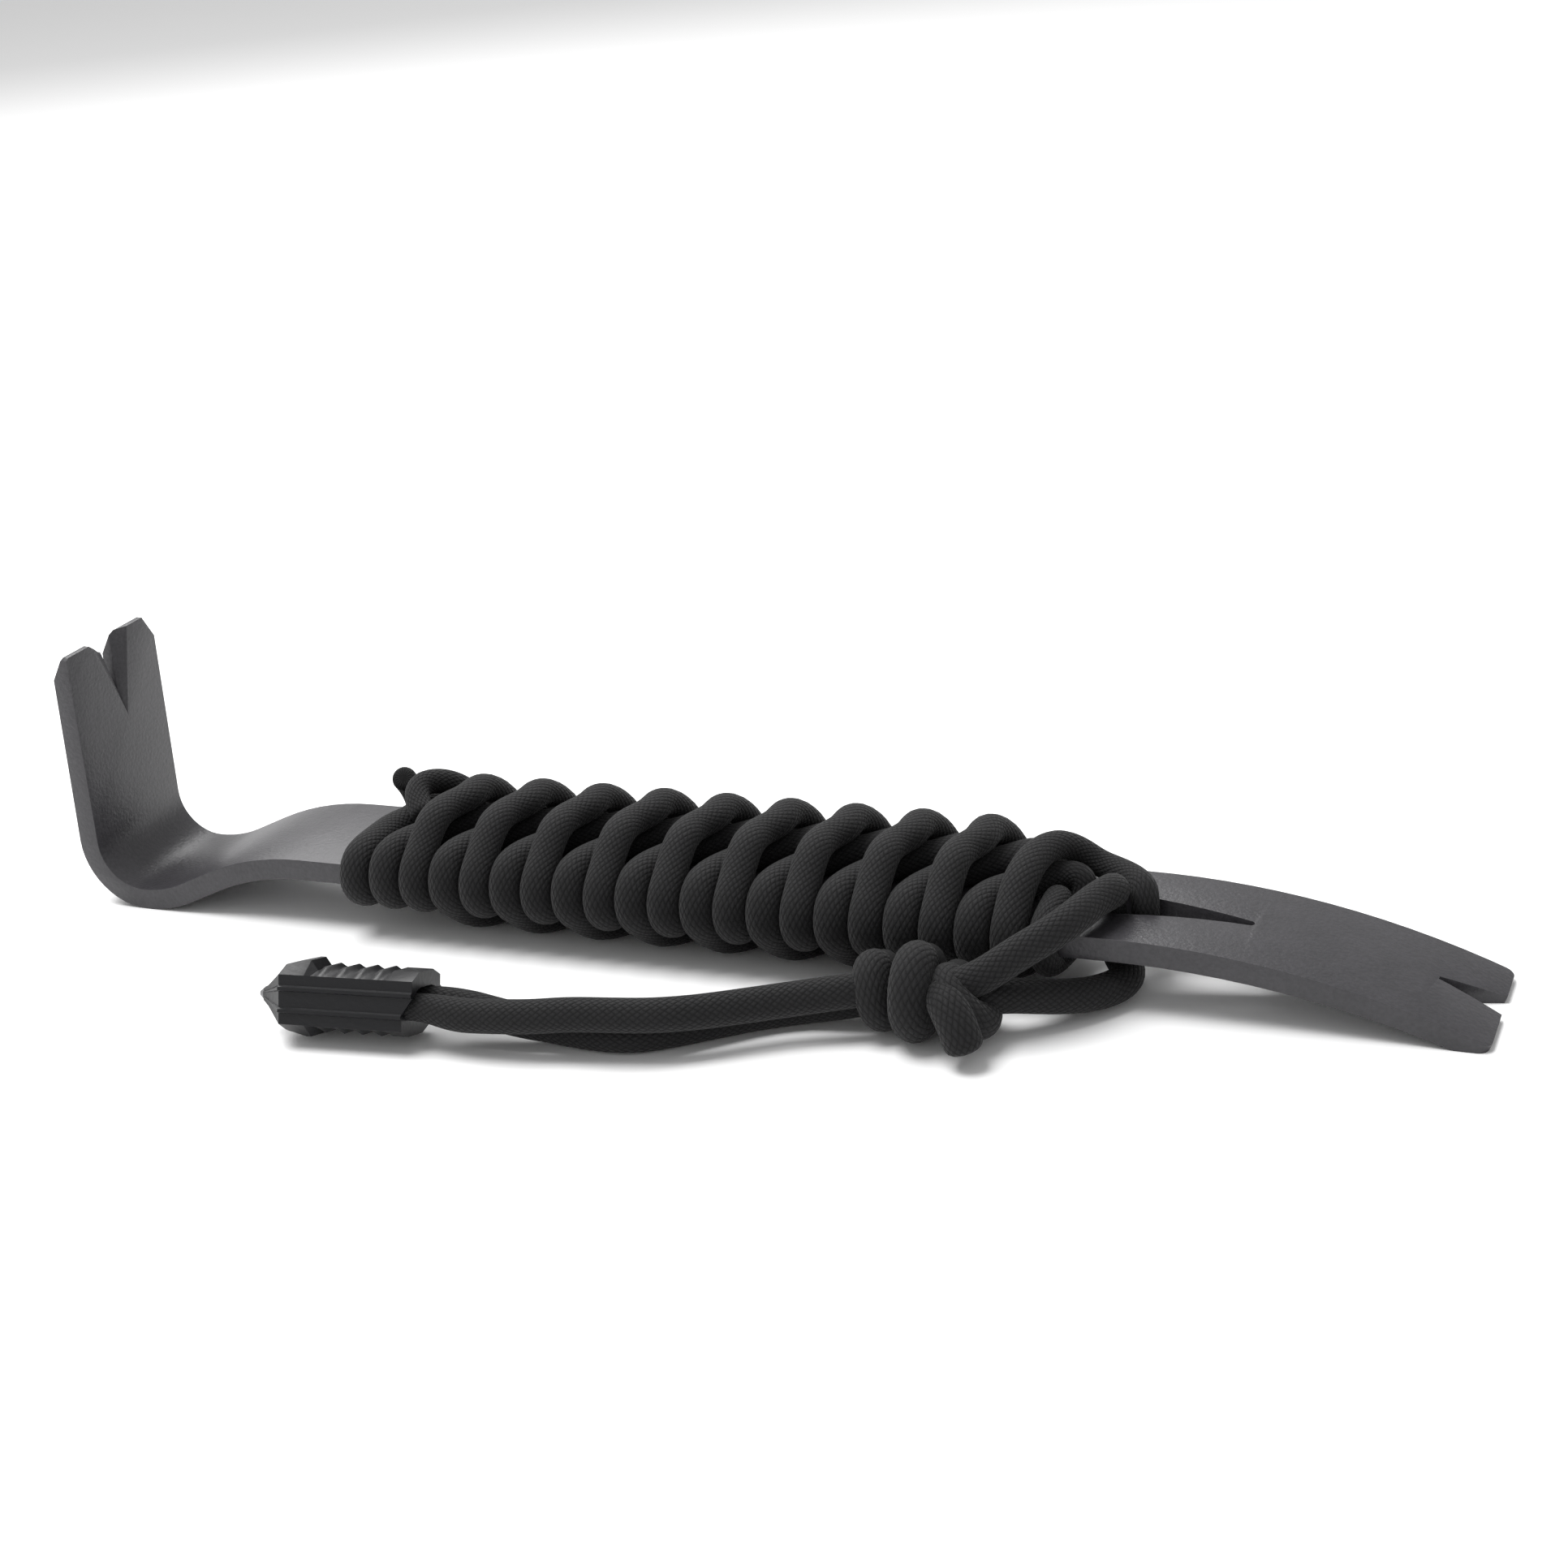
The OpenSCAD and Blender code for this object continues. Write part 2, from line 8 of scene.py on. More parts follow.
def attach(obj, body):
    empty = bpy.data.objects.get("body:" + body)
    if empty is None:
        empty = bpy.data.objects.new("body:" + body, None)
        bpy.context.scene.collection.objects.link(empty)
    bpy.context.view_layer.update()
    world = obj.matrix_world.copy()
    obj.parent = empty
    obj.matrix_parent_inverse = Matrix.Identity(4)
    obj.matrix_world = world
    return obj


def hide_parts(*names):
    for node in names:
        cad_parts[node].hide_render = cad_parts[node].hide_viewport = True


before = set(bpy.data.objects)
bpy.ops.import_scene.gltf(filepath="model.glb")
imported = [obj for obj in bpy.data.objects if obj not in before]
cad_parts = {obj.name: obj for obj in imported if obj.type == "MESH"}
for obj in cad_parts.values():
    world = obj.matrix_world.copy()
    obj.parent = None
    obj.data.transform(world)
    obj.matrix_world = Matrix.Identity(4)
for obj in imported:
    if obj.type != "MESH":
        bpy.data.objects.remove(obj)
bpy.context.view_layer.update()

# ---- Sizes, the same as the CAD source's ----
BAR_W = 0.017
BAR_T = 0.0026
BAR_EDGE_R = 0.00045
# The wrap's cord: half its thickness and half its width where it is pressed on the bar, and how
# much thinner it is underneath
WOUND_R = 0.00165
WOUND_W = 0.00196
SQUEEZE = 0.0002
LEAD_R = 0.0015
# One turn of both strands along the bar, the number of turns, and where the first one starts
PITCH = 0.008
TURNS = 10
WRAP_X = -0.0463
# The lanyard's cord: free, where it bends through the slot, and in the cap's mouth
CORD_R = 0.00185
NECK_R = 0.0014
MOUTH_CORD_R = 0.0015
MOUTH_X = -0.0231
SLOT_Z = 0.0074
SWING = Vector((0.0444, -0.0002, SLOT_Z))

# ---- Cord routes, each from the slot or the knot to its end ----
OVER_LEAD = [
    (0.0478, 0.0001, 0.0074), (0.0478, 0.0001, 0.0092), (0.0474, 0.0011, 0.0103),
    (0.0459, 0.0029, 0.0104), (0.0436, 0.0045, 0.0104), (0.0414, 0.0051, 0.0108),
    (0.0394, 0.0049, 0.0122), (0.0376, 0.0034, 0.0135), (0.0365, 0.0008, 0.0138),
    (0.036, -0.0018, 0.0136),
]
OVER_END = [
    (-0.045, 0.004, 0.0046), (-0.0462, 0.0084, 0.005), (-0.0472, 0.01, 0.008),
    (-0.0473, 0.0095, 0.0104), (-0.0471, 0.008, 0.0124), (-0.0467, 0.007, 0.0132),
]
UNDER_LEAD = [
    (0.0478, 0.0001, 0.0074), (0.0479, 0.0004, 0.0059), (0.0477, 0.0022, 0.0047),
    (0.0454, 0.0038, 0.0045), (0.0426, 0.0044, 0.0044), (0.0403, 0.0024, 0.0041),
    (0.0399, -0.0016, 0.0041), (0.0396, -0.0066, 0.0045), (0.0395, -0.0093, 0.0057),
    (0.0395, -0.0101, 0.008), (0.0395, -0.0087, 0.0099), (0.0395, -0.0054, 0.0104),
    (0.0392, -0.003, 0.0102), (0.039, -0.0018, 0.0089), (0.0393, -0.0008, 0.0076),
    (0.04, 0.0, 0.0071), (0.0407, 0.0008, 0.0078), (0.0409, 0.0012, 0.0094),
    (0.0402, 0.0017, 0.0106), (0.0385, 0.0016, 0.0107), (0.0364, 0.0004, 0.0105),
    (0.0346, -0.0012, 0.0104),
]
UNDER_END = [
    (-0.0383, 0.01, 0.0086), (-0.0389, 0.0095, 0.0106), (-0.0398, 0.0084, 0.0122),
    (-0.0411, 0.0069, 0.0134), (-0.0424, 0.0051, 0.0139), (-0.0426, 0.0032, 0.0136),
    (-0.0416, 0.0015, 0.0127), (-0.0405, 0.0004, 0.012),
]
LOOP_ROUTE = [
    (0.0328, -0.0182, 0.0066), (0.0356, -0.0174, 0.0078), (0.0386, -0.0154, 0.0096),
    (0.0416, -0.0124, 0.0109), (0.0431, -0.009, 0.0114), (0.044, -0.0056, 0.0115),
    (0.0449, -0.0029, 0.0114), (0.0448, -0.0011, 0.0107), (0.0444, -0.0002, 0.0092),
    (0.0444, -0.0002, 0.0074), (0.0444, -0.0002, 0.0054), (0.0447, -0.0008, 0.0039),
    (0.0458, -0.002, 0.0029), (0.0468, -0.0039, 0.0025), (0.0464, -0.0063, 0.0023),
    (0.0446, -0.009, 0.0025), (0.0424, -0.0116, 0.0032), (0.0399, -0.0137, 0.004),
    (0.0374, -0.0153, 0.0046), (0.0348, -0.0166, 0.0047), (0.0326, -0.0174, 0.0044),
]
BACK_TAIL_ROUTE = [
    (0.0226, -0.0158, 0.003), (0.0194, -0.0168, 0.0025), (0.016, -0.0176, 0.0021),
    (0.0129, -0.0189, 0.0019), (0.0099, -0.0208, 0.0019), (0.0057, -0.024, 0.0019),
    (0.0015, -0.027, 0.0019), (-0.0018, -0.0281, 0.0019), (-0.0057, -0.0282, 0.0019),
    (-0.0098, -0.0281, 0.0021), (-0.0126, -0.0285, 0.0025), (-0.016, -0.0286, 0.003),
    (-0.0195, -0.0287, 0.0036), (-0.0232, -0.029, 0.0041), (-0.0322, -0.0299, 0.0041),
]
FRONT_TAIL_ROUTE = [
    (0.0234, -0.0189, 0.0056), (0.0208, -0.0202, 0.0056), (0.0148, -0.0228, 0.0052),
    (0.0091, -0.0261, 0.0052), (0.0061, -0.0278, 0.0053), (0.0029, -0.029, 0.0053),
    (-0.0006, -0.0298, 0.0053), (-0.0057, -0.0308, 0.0053), (-0.01, -0.0317, 0.005),
    (-0.0146, -0.0321, 0.0047), (-0.0184, -0.0322, 0.0045), (-0.0232, -0.0321, 0.0048),
    (-0.0319, -0.033, 0.0048),
]


# ---- Materials ----
def new_material(name, colour, roughness, metallic=0.0):
    mat = bpy.data.materials.new(name)
    mat.use_nodes = True
    shader = mat.node_tree.nodes["Principled BSDF"]
    shader.inputs["Base Color"].default_value = (*colour, 1)
    shader.inputs["Roughness"].default_value = roughness
    shader.inputs["Metallic"].default_value = metallic
    return mat, shader


class Maths:
    """Builds scalar node expressions in a material."""

    def __init__(self, mat):
        self.tree = mat.node_tree

    def node(self, kind, **inputs):
        node = self.tree.nodes.new(kind)
        for name, value in inputs.items():
            self.put(node.inputs[name], value)
        return node

    def put(self, socket, value):
        if isinstance(value, bpy.types.NodeSocket):
            self.tree.links.new(value, socket)
        else:
            socket.default_value = value

    def op(self, operation, *values):
        node = self.tree.nodes.new("ShaderNodeMath")
        node.operation = operation
        for socket, value in zip(node.inputs, values):
            self.put(socket, value)
        return node.outputs[0]

    def ramp(self, value, stops):
        node = self.tree.nodes.new("ShaderNodeValToRGB")
        node.color_ramp.elements[0].position = stops[0][0]
        node.color_ramp.elements[0].color = (*stops[0][1], 1)
        node.color_ramp.elements[1].position = stops[1][0]
        node.color_ramp.elements[1].color = (*stops[1][1], 1)
        self.put(node.inputs["Fac"], value)
        return node.outputs["Color"]

    def bump(self, height, distance):
        node = self.node("ShaderNodeBump", Height=height, Distance=distance, Strength=1.0)
        return node.outputs["Normal"]

    def place(self):
        return self.tree.nodes.new("ShaderNodeNewGeometry").outputs["Position"]

    def noise(self, place, scale, detail):
        """Noise at a scale per metre."""
        node = self.node("ShaderNodeTexNoise", Vector=place, Scale=scale, Detail=detail)
        return node.outputs["Fac"]


def braided_cord():
    """A tubular braid: two families of yarns cross and take turns on top."""
    yarns = 18
    stitch = 0.0009
    mat, shader = new_material("braided_cord", (0.03, 0.03, 0.033), 0.78)
    m = Maths(mat)
    uv = m.tree.nodes.new("ShaderNodeUVMap")
    uv.uv_map = "cord"
    split = m.node("ShaderNodeSeparateXYZ", Vector=uv.outputs["UV"])
    around = m.op("MULTIPLY", split.outputs["X"], yarns)
    along = m.op("MULTIPLY", split.outputs["Y"], 1 / stitch)
    p = m.op("ADD", around, along)
    q = m.op("SUBTRACT", around, along)
    cell = m.op("ADD", m.op("FLOOR", p), m.op("FLOOR", q))
    parity = m.op("FLOORED_MODULO", cell, 2.0)
    crown_p = m.op("SINE", m.op("MULTIPLY", m.op("FRACT", p), math.pi))
    crown_q = m.op("SINE", m.op("MULTIPLY", m.op("FRACT", q), math.pi))
    on_top = m.op("ADD", m.op("MULTIPLY", parity, crown_p),
                  m.op("MULTIPLY", m.op("SUBTRACT", 1.0, parity), crown_q))
    ends = m.op("ADD", m.op("MULTIPLY", parity, crown_q),
                m.op("MULTIPLY", m.op("SUBTRACT", 1.0, parity), crown_p))
    height = m.op("MULTIPLY", on_top, m.op("POWER", ends, 0.4))
    place = m.place()
    fibres = m.noise(place, 2600.0, 2.0)
    worn = m.noise(place, 160.0, 3.0)
    # Painted shade: the yarn crowns are painted lighter and the grooves between yarns darker,
    # mixed with fibre noise and random wear tone; the same crown height also drives the bump
    lit = m.op("ADD", m.op("MULTIPLY", height, 0.75), m.op("MULTIPLY", fibres, 0.45))
    shade = m.op("ADD", m.op("MULTIPLY", lit, 0.8), m.op("MULTIPLY", worn, 0.2))
    colour = m.ramp(shade, [(0.15, (0.0015, 0.0015, 0.0017)), (1.0, (0.016, 0.0157, 0.0165))])
    m.put(shader.inputs["Base Color"], colour)
    m.put(shader.inputs["Normal"], m.bump(lit, 0.00012))
    shader.inputs["Specular IOR Level"].default_value = 0.2
    shader.inputs["Sheen Weight"].default_value = 0.06
    shader.inputs["Sheen Roughness"].default_value = 0.5
    return mat


def powder_coat():
    """Dark grey textured coating on steel."""
    mat, shader = new_material("powder_coat", (0.07, 0.067, 0.075), 0.42)
    m = Maths(mat)
    place = m.place()
    grain = m.noise(place, 2200.0, 3.0)
    mottle = m.noise(place, 260.0, 3.0)
    tone = m.op("ADD", m.op("MULTIPLY", grain, 0.6), m.op("MULTIPLY", mottle, 0.4))
    colour = m.ramp(tone, [(0.3, (0.024, 0.023, 0.026)), (0.7, (0.042, 0.04, 0.045))])
    m.put(shader.inputs["Base Color"], colour)
    m.put(shader.inputs["Normal"], m.bump(grain, 0.00006))
    shader.inputs["Specular IOR Level"].default_value = 0.5
    return mat


def add_grain(mat, shader, scale):
    """A very shallow grain, as on a moulded or ground surface."""
    m = Maths(mat)
    grain = m.noise(m.place(), scale, 2.0)
    m.put(shader.inputs["Normal"], m.bump(grain, 0.00003))


def cap_plastic():
    mat, shader = new_material("cap_plastic", (0.0045, 0.0046, 0.0058), 0.38)
    shader.inputs["Specular IOR Level"].default_value = 0.35
    add_grain(mat, shader, 1500.0)
    return mat


def hard_point():
    mat, shader = new_material("hard_point", (0.16, 0.16, 0.165), 0.4, 0.6)
    add_grain(mat, shader, 1800.0)
    return mat


CORD = braided_cord()
COAT = powder_coat()
PLASTIC = cap_plastic()
POINT = hard_point()


# ---- Curves and swept tubes ----
def smooth(v):
    c = max(0.0, min(1.0, v))
    return c * c * (3 - 2 * c)


def mix(a, b, f):
    return a + (b - a) * f


def curve(points, steps):
    """A smooth curve through the points, with that many steps to each span."""
    pts = [Vector(p) for p in points]
    line = []
    for i in range(len(pts) - 1):
        a, b = pts[max(i - 1, 0)], pts[i]
        c, d = pts[i + 1], pts[min(i + 2, len(pts) - 1)]
        for j in range(steps):
            f = j / steps
            line.append(0.5 * (2 * b + (c - a) * f + (2 * a - 5 * b + 4 * c - d) * f * f
                               + (3 * b - a - 3 * c + d) * f ** 3))
    line.append(pts[-1])
    return line


def tangents(path):
    last = len(path) - 1
    return [(path[min(i + 1, last)] - path[max(i - 1, 0)]).normalized()
            for i in range(len(path))]


def reject(v, t):
    return (v - t * v.dot(t)).normalized()


def carried(tan, first):
    """One side direction per point, carried along the path with no twist."""
    out = [reject(first, tan[0])]
    for t in tan[1:]:
        out.append(reject(out[-1], t))
    return out


def relaxed(path, passes):
    """The path with its small kinks eased out; its ends stay."""
    for _ in range(passes):
        path = [path[0]] + [path[i] * 0.5 + (path[i - 1] + path[i + 1]) * 0.25
                            for i in range(1, len(path) - 1)] + [path[-1]]
    return path


def end_rings(thick, steps=5):
    """Rings that round off a cord's cut end: (how far past the end, scale)."""
    rings = []
    for i in range(1, steps + 1):
        a = i * math.pi / 2 / steps
        scale = math.cos(a) * 0.5 + 0.5 if a < 1.2 else math.cos(a) + 0.3
        rings.append((thick * 0.5 * math.sin(a), scale))
    return rings


def sweep(name, path, out, thick, wide, sides=20, round_end=False):
    """A tube along the path, with a UV map of (part of the way around, metres along)."""
    tan = tangents(path)
    rings = [[path[i], tan[i], out[i], thick[i], wide[i]] for i in range(len(path))]
    if round_end:
        p, t, o, r, w = rings[-1]
        rings += [[p + t * past, t, o, r * k, w * k] for past, k in end_rings(r)]
    bm = bmesh.new()
    uv = bm.loops.layers.uv.new("cord")
    verts, far = [], []
    run = 0.0
    for i, (p, t, o, r, w) in enumerate(rings):
        if i:
            run += (p - rings[i - 1][0]).length
        far.append(run)
        side = t.cross(o)
        verts.append([bm.verts.new(p + o * r * math.cos(a) + side * w * math.sin(a))
                      for a in [2 * math.pi * j / sides for j in range(sides)]])
    for i in range(len(rings) - 1):
        for j in range(sides):
            k = (j + 1) % sides
            face = bm.faces.new((verts[i][j], verts[i][k], verts[i + 1][k], verts[i + 1][j]))
            places = ((j, i), (j + 1, i), (j + 1, i + 1), (j, i + 1))
            for loop, (a, b) in zip(face.loops, places):
                loop[uv].uv = (a / sides, far[b])
    for ring, flip in ((verts[0], True), (verts[-1], False)):
        face = bm.faces.new(list(reversed(ring)) if flip else ring)
        for loop in face.loops:
            loop[uv].uv = (0, 0)
    for face in bm.faces:
        face.smooth = True
    bmesh.ops.recalc_face_normals(bm, faces=bm.faces)
    return finished(name, bm, CORD)


def finished(name, bm, mat):
    """The object made from bm, with its material and slot."""
    mesh = bpy.data.meshes.new(name)
    bm.to_mesh(mesh)
    bm.free()
    obj = bpy.data.objects.new(name, mesh)
    bpy.context.scene.collection.objects.link(obj)
    mesh.materials.append(mat)
    return obj


def tube(name, path, radius, **options):
    """A round tube; the first side direction only has to lie across every route's start."""
    out = carried(tangents(path), Vector((0.31, 0.87, 0.38)))
    return sweep(name, path, out, radius, radius, **options)


# ---- The handle wrap ----
# A turn is measured by s, the distance round the bar: flat top, nose round the front edge, flat
# underside, nose round the back edge
STEPS = 72
NOSE_R = BAR_T / 2 + WOUND_R
FLAT_Y = BAR_W / 2 + WOUND_R - NOSE_R
FLAT_L = 2 * FLAT_Y
NOSE_L = math.pi * NOSE_R
TURN_L = 2 * (FLAT_L + NOSE_L)
ADVANCE_L = 2 * FLAT_Y + NOSE_L
# Half the distance along the bar between the two strands of one turn
STEP_OUT = 0.002
# Ends of the wound stretch: how many points a strand takes to flatten, and to round out again
FLATTEN_POINTS = 20
ROUND_POINTS = 10


def round_bar(s):
    """Place round the bar, s from the top back corner over the top to the front, down,
    back underneath and up: y, z, outward y, outward z."""
    if s < FLAT_L:
        return FLAT_Y - s, 0, 0, 1
    if s < FLAT_L + NOSE_L:
        a = math.pi * (s - FLAT_L) / NOSE_L
        return -FLAT_Y, 0, -math.sin(a), math.cos(a)
    if s < 2 * FLAT_L + NOSE_L:
        return s - FLAT_L - NOSE_L - FLAT_Y, 0, 0, -1
    a = math.pi * (s - 2 * FLAT_L - NOSE_L) / NOSE_L
    return FLAT_Y, 0, math.sin(a), -math.cos(a)


def back_run(s):
    """Distance along the back half of the turn, from under the bar's middle to its top."""
    if s < FLAT_Y:
        return ADVANCE_L - FLAT_Y + s
    if s > 1.5 * FLAT_L + NOSE_L:
        return s - 1.5 * FLAT_L - NOSE_L
    return ADVANCE_L if s < FLAT_L + NOSE_L else 0


def swap_under(s, pair):
    """How far the two strands have changed places under the bar, 0 to 1."""
    start = FLAT_L + NOSE_L + (FLAT_Y if pair == 1 else 0)
    return smooth((s - start) / FLAT_Y)


def over_offset(s, pair):
    """Where the over strand lies along the bar, from the middle of its turn."""
    if s < FLAT_L:
        return STEP_OUT - 2 * STEP_OUT * smooth((FLAT_Y - s) / FLAT_Y)
    if s < FLAT_L + NOSE_L:
        return STEP_OUT
    if s < 2 * FLAT_L + NOSE_L:
        return STEP_OUT - 2 * STEP_OUT * swap_under(s, pair)
    return -STEP_OUT


def under_offset(s, pair):
    """Where the under strand lies along the bar, from the middle of its turn."""
    if s < FLAT_L:
        return STEP_OUT - 2 * STEP_OUT * s / FLAT_L
    if s < FLAT_L + NOSE_L:
        return -STEP_OUT
    if s < 2 * FLAT_L + NOSE_L:
        return -STEP_OUT + 2 * STEP_OUT * swap_under(s, pair)
    return STEP_OUT


def top_lift(s):
    """How far the over strand is lifted off the bar's top by the other one, 0 to 1."""
    t = s - TURN_L if s > TURN_L / 2 + NOSE_L else s
    return smooth((t + 0.004) / 0.0055) * smooth((FLAT_L + 0.0015 - t) / 0.0055)


def moved_on(s):
    """Most of the move along the bar is made as a strand comes over the top back corner."""
    return (back_run(s) / ADVANCE_L) ** 3


def corner_rise(s):
    """The under strand stands proud where it comes over the top front corner."""
    return 0.0004 * smooth((s - 0.008) / 0.004) * smooth((FLAT_L + 0.004 - s) / 0.004)


def bottom_lift(s, pair):
    """How far the under strand is lifted off the bar's underside, 0 to 1."""
    t = s - FLAT_L - NOSE_L
    late = FLAT_Y if pair == 1 else 0
    return smooth((t + 0.0015 - late) / 0.004) * smooth((FLAT_L + 0.002 - t) / 0.005)


def strand_at(over, pair, s):
    """Centre of a strand: pair is which turn, s is the place round it."""
    y, z, out_y, out_z = round_bar(s)
    r = WOUND_R - SQUEEZE * (1 - out_z) / 2
    if over:
        crest = pair - 1 if s > TURN_L / 2 + NOSE_L else pair
        rise = 2 * WOUND_R * top_lift(s) if crest > 0 else 0
        offset = over_offset(s, pair)
    else:
        rise = 2 * (WOUND_R - SQUEEZE) * bottom_lift(s, pair) + corner_rise(s)
        offset = under_offset(s, pair)
    reach = BAR_T / 2 + r + rise
    shift = PITCH * ((1 if s < FLAT_L + NOSE_L else 0) - moved_on(s))
    x = WRAP_X + PITCH * pair + offset + shift
    return Vector((x, y + reach * out_y, SLOT_Z + reach * out_z))


def strand(over, first, last, start, stop):
    """Points of a strand, from s = start in its first turn to s = stop in its last."""
    points = []
    for pair in range(first, last - 1, -1):
        for i in range(STEPS):
            s = TURN_L * (i + 0.5) / STEPS
            if (pair == first and s < start) or (pair == last and s > stop):
                continue
            points.append(strand_at(over, pair, s))
    return points


def outward(p):
    """Away from the bar at a point of the wrap."""
    y = p.y - max(-FLAT_Y, min(FLAT_Y, p.y))
    z = p.z - SLOT_Z
    if abs(y) < 1e-6:
        z = math.copysign(1, z)
    return Vector((0, y, z)).normalized()


def wound_strand(name, lead, wound, end, node):
    """A strand of the wrap, flattened on the bar and round at its lead and its end."""
    lead, end = curve(lead, 5), curve(end, 5)
    path = relaxed(lead + wound + end, 6)
    tan = tangents(path)
    first, last = len(lead), len(lead) + len(wound) - 1
    core = [reject(outward(path[i]), tan[i]) for i in range(first, last + 1)]
    before = carried([tan[i] for i in range(first, -1, -1)], core[0])
    after = carried([tan[i] for i in range(last, len(path))], core[-1])
    out = before[:0:-1] + core + after[1:]
    thick, wide = [], []
    for i, p in enumerate(path):
        flat = 1 - min(1, max(0, (first - i) / FLATTEN_POINTS, (i - last) / ROUND_POINTS))
        wound_t = WOUND_R - SQUEEZE * (1 - out[i].z) / 2
        thick.append(mix(LEAD_R, wound_t, flat))
        wide.append(mix(LEAD_R, WOUND_W, flat))
    obj = sweep(name, path, out, thick, wide, sides=20, round_end=True)
    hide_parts(node)
    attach(obj, "tool")
    return obj


def handle_wrap():
    over = strand(True, TURNS, 0, FLAT_Y + 0.004, TURN_L * 0.66)
    under = strand(False, TURNS, 1, FLAT_Y + 0.0025, TURN_L * 0.88)
    wound_strand("handle_wrap_over", OVER_LEAD, over, OVER_END, "wrap_over_strand")
    wound_strand("handle_wrap_under", UNDER_LEAD, under, UNDER_END, "wrap_under_strand")


# ---- The bar ----
def pry_bar():
    """A copy of the CAD bar with its edges rounded."""
    bm = bmesh.new()
    bm.from_mesh(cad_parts["pry_bar"].data)
    bmesh.ops.remove_doubles(bm, verts=bm.verts, dist=0.000002)
    bmesh.ops.dissolve_limit(bm, angle_limit=math.radians(0.6), verts=bm.verts, edges=bm.edges)
    obj = finished("bar", bm, COAT)
    bevel = obj.modifiers.new("edges", "BEVEL")
    bevel.width = BAR_EDGE_R
    bevel.segments = 3
    bevel.limit_method = "ANGLE"
    bevel.angle_limit = math.radians(22)
    bevel.use_clamp_overlap = True
    bpy.context.view_layer.objects.active = obj
    obj.select_set(True)
    bpy.ops.object.modifier_apply(modifier="edges")
    obj.select_set(False)
    mesh = obj.data
    mesh.polygons.foreach_set("use_smooth", [True] * len(mesh.polygons))
    mesh.set_sharp_from_angle(angle=math.radians(30))
    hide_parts("pry_bar")
    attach(obj, "tool")


# ---- The lanyard ----
def loop():
    """The loop through the slot, thinner where it bends over the bar."""
    path = relaxed(curve(LOOP_ROUTE, 5), 3)
    radius = []
    for p in path:
        away = p - SWING
        away.z *= 0.6
        radius.append(mix(NECK_R, CORD_R, smooth((away.length - 0.001) / 0.002)))
    return tube("lanyard_loop_cord", path, radius, sides=24), path


def tail(name, route):
    """A tail narrows into the cap's mouth."""
    path = relaxed(curve(route, 6), 3)
    radius = [mix(MOUTH_CORD_R, CORD_R, smooth((p.x - MOUTH_X + 0.001) / 0.006)) for p in path]
    return tube(name, path, radius, sides=24), path


def turned(centre, tilt, heading, radius):
    """Points of a nearly whole turn of cord round the lanyard, in its own tilted plane."""
    start, sweep_deg, climb, spans = 60, 352, 0.0006, 16
    turn = (Matrix.Rotation(math.radians(heading), 3, "Z")
            @ Matrix.Rotation(math.radians(tilt), 3, "Y"))
    points = []
    for i in range(spans + 1):
        a = math.radians(start + sweep_deg * i / spans)
        local = Vector((climb * (i / spans - 0.5), radius * math.cos(a), radius * math.sin(a)))
        points.append(centre + turn @ local)
    return points


def knot():
    """Three turns round both cords, and the short end that comes out under the last."""
    centre = Vector((0.0286, -0.018, 0.0054))
    # name, place, tilt, heading, radius of the turn, radius of the cord
    rings = [
        ("knot_turn_left", (-0.0046, 0.0006, -0.0006), -10, 8, 0.0024, 0.002),
        ("knot_turn_middle", (-0.0002, 0, 0), 4, 6, 0.0031, 0.00225),
        ("knot_turn_right", (0.0049, 0.0002, -0.0005), -40, 14, 0.0025, 0.0021),
    ]
    pieces = []
    for name, at, tilt, heading, radius, cord in rings:
        path = curve(turned(centre + Vector(at), tilt, heading, radius), 4)
        pieces.append(tube(name, path, [cord] * len(path), sides=20))
    stub = curve([(0.0318, -0.0196, 0.0062), (0.0332, -0.0215, 0.0057),
                  (0.0344, -0.0227, 0.0043), (0.0349, -0.0229, 0.0029)], 6)
    pieces.append(tube("knot_stub", stub, [0.0021] * len(stub), sides=20, round_end=True))
    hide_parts("lanyard_knot")
    for piece in pieces:
        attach(piece, "lanyard")
    return pieces


# ---- The cap, drawn along X from its nose, then rolled and set down ----
CAP_L = 0.0194
CAP_LOWER_L = 0.0182
# Half heights and half widths: the middle at its tallest, the side, the flat land on top
CAP_MID = 0.00415
CAP_SIDE = 0.0035
CAP_LAND = 0.0017
CAP_BEVEL_Z = 0.0027
CAP_ROLL = math.radians(20)
CAP_Z = CAP_MID * math.cos(CAP_ROLL) + CAP_LAND * math.sin(CAP_ROLL) + 0.00002
CAP_PLACE = (Matrix.Translation((-0.0425, -0.0326, CAP_Z))
             @ Matrix.Rotation(math.radians(6), 4, "Z") @ Matrix.Rotation(-CAP_ROLL, 4, "X")
             @ Matrix.Translation((0, 0, -CAP_MID)))


def cap_height(x):
    """Half height of the cap, x from its nose: shoulder, fin, four grip ribs and a block."""
    outline = [(0.0003, 0.0007), (0.0013, 0.0014), (0.0036, 0.0036), (0.006, 0.00415),
               (0.0066, 0.00415), (0.0074, 0.0031), (0.016, 0.0031), (0.0164, 0.0035),
               (CAP_L, 0.0035)]
    height = outline[-1][1]
    for (x0, h0), (x1, h1) in zip(outline, outline[1:]):
        if x0 <= x < x1:
            height = mix(h0, h1, (x - x0) / (x1 - x0))
            break
    if 0.0073 < x < 0.0161:
        wave = 0.5 - 0.5 * math.cos(2 * math.pi * (x - 0.0073) / 0.0022)
        height += 0.0005 * wave ** 1.5
    return height


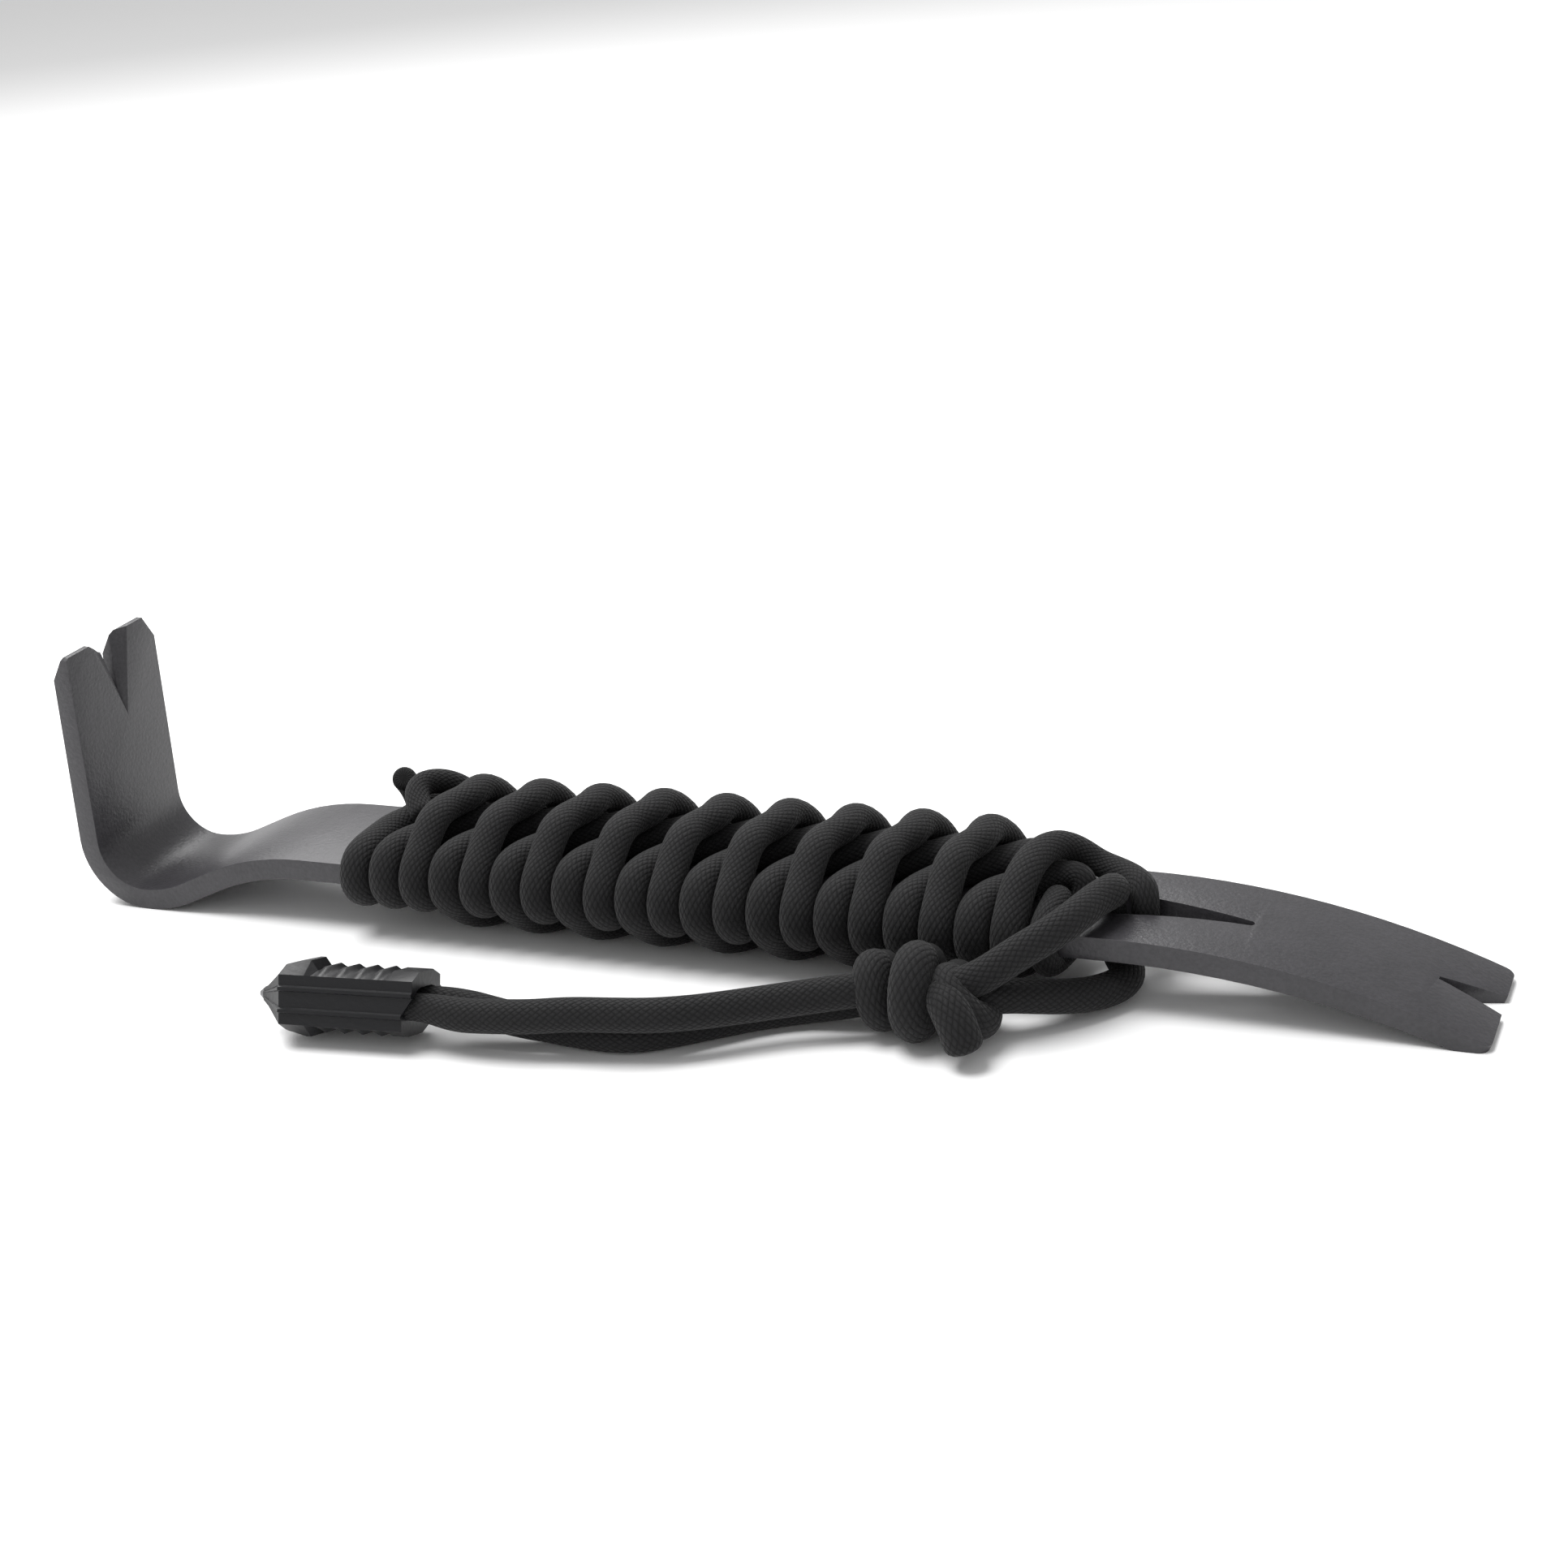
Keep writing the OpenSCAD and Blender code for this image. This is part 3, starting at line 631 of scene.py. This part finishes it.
def cap_ring(x):
    """The cap's cross-section at x, with two raised ridges along each side."""
    half_w = CAP_SIDE * min(1, 0.23 + 0.2 * max(0, (x - 0.0003) / 0.001)
                            + 0.57 * max(0, (x - 0.0013) / 0.0023))
    k = min(1, half_w / CAP_SIDE)
    lift, proud, r = 0.0012, 0.0003, 0.00035
    top = cap_height(x)
    side = [(1, -lift - r), (1 + proud / CAP_SIDE, -lift - r / 2),
            (1 + proud / CAP_SIDE, -lift + r / 2), (1, -lift + r),
            (1, lift - r), (1 + proud / CAP_SIDE, lift - r / 2),
            (1 + proud / CAP_SIDE, lift + r / 2), (1, lift + r)]
    half = [(k * CAP_LAND, -top), (half_w, k * -CAP_BEVEL_Z)]
    half += [(half_w * wide, k * up) for wide, up in side]
    half += [(half_w, k * CAP_BEVEL_Z), (k * CAP_LAND, top)]
    ring = half + [(-y, z) for y, z in reversed(half)]
    return [(min(x, CAP_LOWER_L) if z < 0 else x, y, z + CAP_MID) for y, z in ring]


def mouth_ring(x):
    """The same number of points round the cap's mouth."""
    half_w, half_h, power = 0.0031, 0.0019, 0.7
    ring = []
    for _, y, z in cap_ring(CAP_L):
        a = math.atan2((z - CAP_MID) / half_h, y / half_w)
        ring.append((
            min(x, CAP_LOWER_L) if z < CAP_MID else x,
            math.copysign(abs(math.cos(a)) ** power * half_w, math.cos(a)),
            math.copysign(abs(math.sin(a)) ** power * half_h, math.sin(a)) + CAP_MID))
    return ring


def cap():
    """Both moulded shells as one closed piece with a blind mouth for the cords."""
    mouth_end = 0.0155
    xs = [0.0003, 0.0013, 0.0036, 0.006, 0.0066]
    xs += [0.0074 + 0.0002 * i for i in range(44)] + [0.0164, CAP_L]
    rings = [cap_ring(x) for x in xs] + [mouth_ring(CAP_L), mouth_ring(mouth_end)]
    bm = bmesh.new()
    verts = [[bm.verts.new(CAP_PLACE @ Vector(p)) for p in ring] for ring in rings]
    count = len(verts[0])
    for near, far in zip(verts, verts[1:]):
        for j in range(count):
            k = (j + 1) % count
            bm.faces.new((near[j], near[k], far[k], far[j]))
    bm.faces.new(list(reversed(verts[0])))
    bm.faces.new(verts[-1])
    bmesh.ops.recalc_face_normals(bm, faces=bm.faces)
    obj = finished("cap_shells", bm, PLASTIC)
    obj.data.polygons.foreach_set("use_smooth", [True] * len(obj.data.polygons))
    obj.data.set_sharp_from_angle(angle=math.radians(28))
    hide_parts("cap_upper_shell", "cap_lower_shell")
    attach(obj, "lanyard")
    return obj


def lanyard():
    knot_pieces = knot()
    shells = cap()
    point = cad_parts["cap_point"]
    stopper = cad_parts["stopper_knot"]
    for node, mat in ((point, POINT), (stopper, CORD)):
        for slot in node.material_slots:
            slot.material = mat
    loop_cord, loop_path = loop()
    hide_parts("lanyard_loop")
    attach(loop_cord, "lanyard")
    for name, route, node, with_pieces in (
        ("lanyard_tail_front_cord", FRONT_TAIL_ROUTE, "lanyard_tail_front", [shells, point]),
        ("lanyard_tail_back_cord", BACK_TAIL_ROUTE, "lanyard_tail_back", [stopper]),
    ):
        obj, path = tail(name, route)
        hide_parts(node)
        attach(obj, "lanyard")


# ---- Floor, light and camera ----
def stage():
    bpy.ops.mesh.primitive_plane_add(size=6)
    floor = bpy.context.object
    floor.name = "floor"
    mat, shader = new_material("floor", (0.94, 0.94, 0.94), 0.9)
    shader.inputs["Specular IOR Level"].default_value = 0.1
    floor.data.materials.append(mat)


def area_light(name, place, size, power):
    """An area light aimed at the middle of the part."""
    light = bpy.data.lights.new(name, "AREA")
    light.shape = "RECTANGLE"
    light.size, light.size_y = size
    light.energy = power
    obj = bpy.data.objects.new(name, light)
    bpy.context.scene.collection.objects.link(obj)
    obj.location = place
    obj.rotation_euler = (-Vector(place)).to_track_quat("-Z", "Y").to_euler()


def lights():
    world = bpy.data.worlds.new("studio")
    bpy.context.scene.world = world
    world.use_nodes = True
    background = world.node_tree.nodes["Background"]
    background.inputs["Color"].default_value = (1, 1, 1, 1)
    background.inputs["Strength"].default_value = 0.6
    area_light("key", (-0.25, -0.1, 0.9), (0.5, 0.5), 8)
    area_light("back", (-0.45, 0.55, 0.6), (0.6, 0.3), 4)


def camera():
    place = Vector((0.11635, -0.23515, 0.12611))
    aim = Vector((0.00346, 0.00817, 0.01588))
    roll = -5.61
    data = bpy.data.cameras.new("camera")
    data.lens = 58.27
    data.sensor_width = 36
    data.clip_start = 0.01
    data.clip_end = 10
    obj = bpy.data.objects.new("camera", data)
    bpy.context.scene.collection.objects.link(obj)
    turn = (aim - place).to_track_quat("-Z", "Y").to_matrix() @ Matrix.Rotation(
        math.radians(roll), 3, "Z")
    obj.matrix_world = Matrix.Translation(place) @ turn.to_4x4()
    bpy.context.scene.camera = obj


bpy.context.scene.view_settings.view_transform = "Standard"
camera()
pry_bar()
handle_wrap()
lanyard()
stage()
lights()
